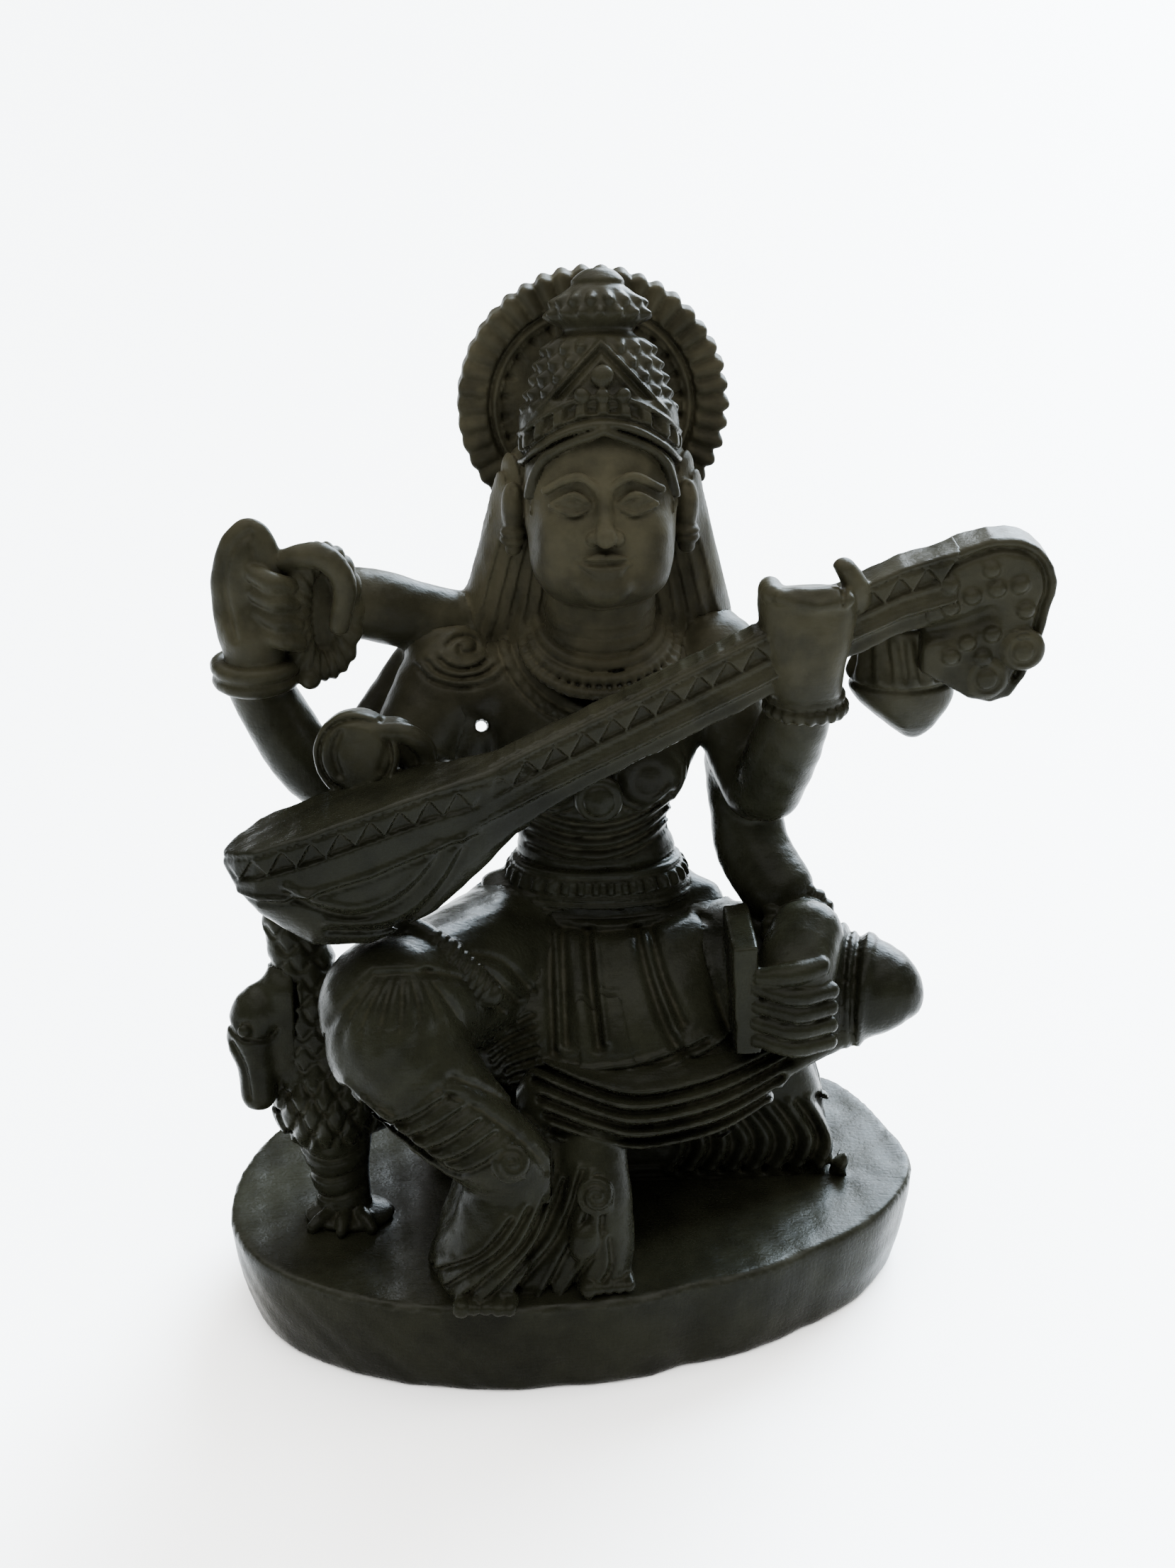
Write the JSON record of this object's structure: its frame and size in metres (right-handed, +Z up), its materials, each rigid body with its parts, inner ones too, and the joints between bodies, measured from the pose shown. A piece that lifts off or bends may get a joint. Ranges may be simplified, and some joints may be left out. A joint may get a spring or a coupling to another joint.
{
  "type": "carved stone figure of a veena player",
  "caption": "Carved dark stone figure of a seated, many-armed musician who plays a long lute, with halo, crown, bird and oval plinth.",
  "frame": {"origin": "centre of the plinth's flat underside, which stands on the ground", "axes": "+Z up, from the plinth to the crown; -Y is the figure's front; +X is the figure's left hand side, toward the veena's scroll"},
  "size_m": [0.1533, 0.0906, 0.2002],
  "materials": {
    "dark_stone": "oiled, satin, with fine file marks",
    "polished_stone": "oiled and rubbed, satin to glossy",
    "dusty_stone": "oiled, with pale brown dust in the cuts"
  },
  "bodies": {
    "root": {"plinth": "dark_stone", "seat": "dark_stone", "lap_drape": "dark_stone", "torso": "dusty_stone", "head": "dusty_stone", "veena_neck": "polished_stone", "veena_bowl": "polished_stone", "left_front_hand": "dark_stone", "right_front_hand": "dark_stone", "waist": "dark_stone", "waist_belt": "dark_stone", "neck": "dusty_stone", "necklace": "dusty_stone", "breast_pendant": "dark_stone", "crown_band": "dusty_stone", "crown_dome": "dusty_stone", "crown_top": "dusty_stone", "halo": "dusty_stone", "ear_right": "dusty_stone", "ear_left": "dusty_stone", "back_hair": "dusty_stone", "hair_right": "dusty_stone", "hair_left": "dusty_stone", "right_front_upper_arm": "dusty_stone", "right_front_forearm": "dark_stone", "right_back_bangle": "dark_stone", "right_back_hand": "dark_stone", "right_back_forearm": "dark_stone", "right_back_upper_arm": "dark_stone", "prayer_beads": "dark_stone", "bead_strut": "dark_stone", "left_front_bangle": "dark_stone", "left_front_forearm": "dark_stone", "left_front_upper_arm": "dusty_stone", "left_back_bangle": "dark_stone", "left_back_arm": "dark_stone", "manuscript": "dark_stone", "left_back_hand": "dark_stone", "left_knee": "polished_stone", "left_calf": "dark_stone", "right_thigh": "dark_stone", "right_shin": "dark_stone", "right_foot": "dark_stone", "left_foot": "dark_stone", "foot_drape": "dark_stone", "front_sash": "dark_stone", "sash_tail": "dark_stone", "fret_strip": "polished_stone", "veena_scroll": "polished_stone", "veena_small_gourd": "dark_stone", "veena_peg_1": "dark_stone", "veena_peg_2": "dark_stone", "bird_body": "dark_stone", "bird_neck": "dark_stone", "bird_head": "dark_stone", "bird_leg": "dark_stone", "bird_foot": "dark_stone"}
  },
  "joints": []
}
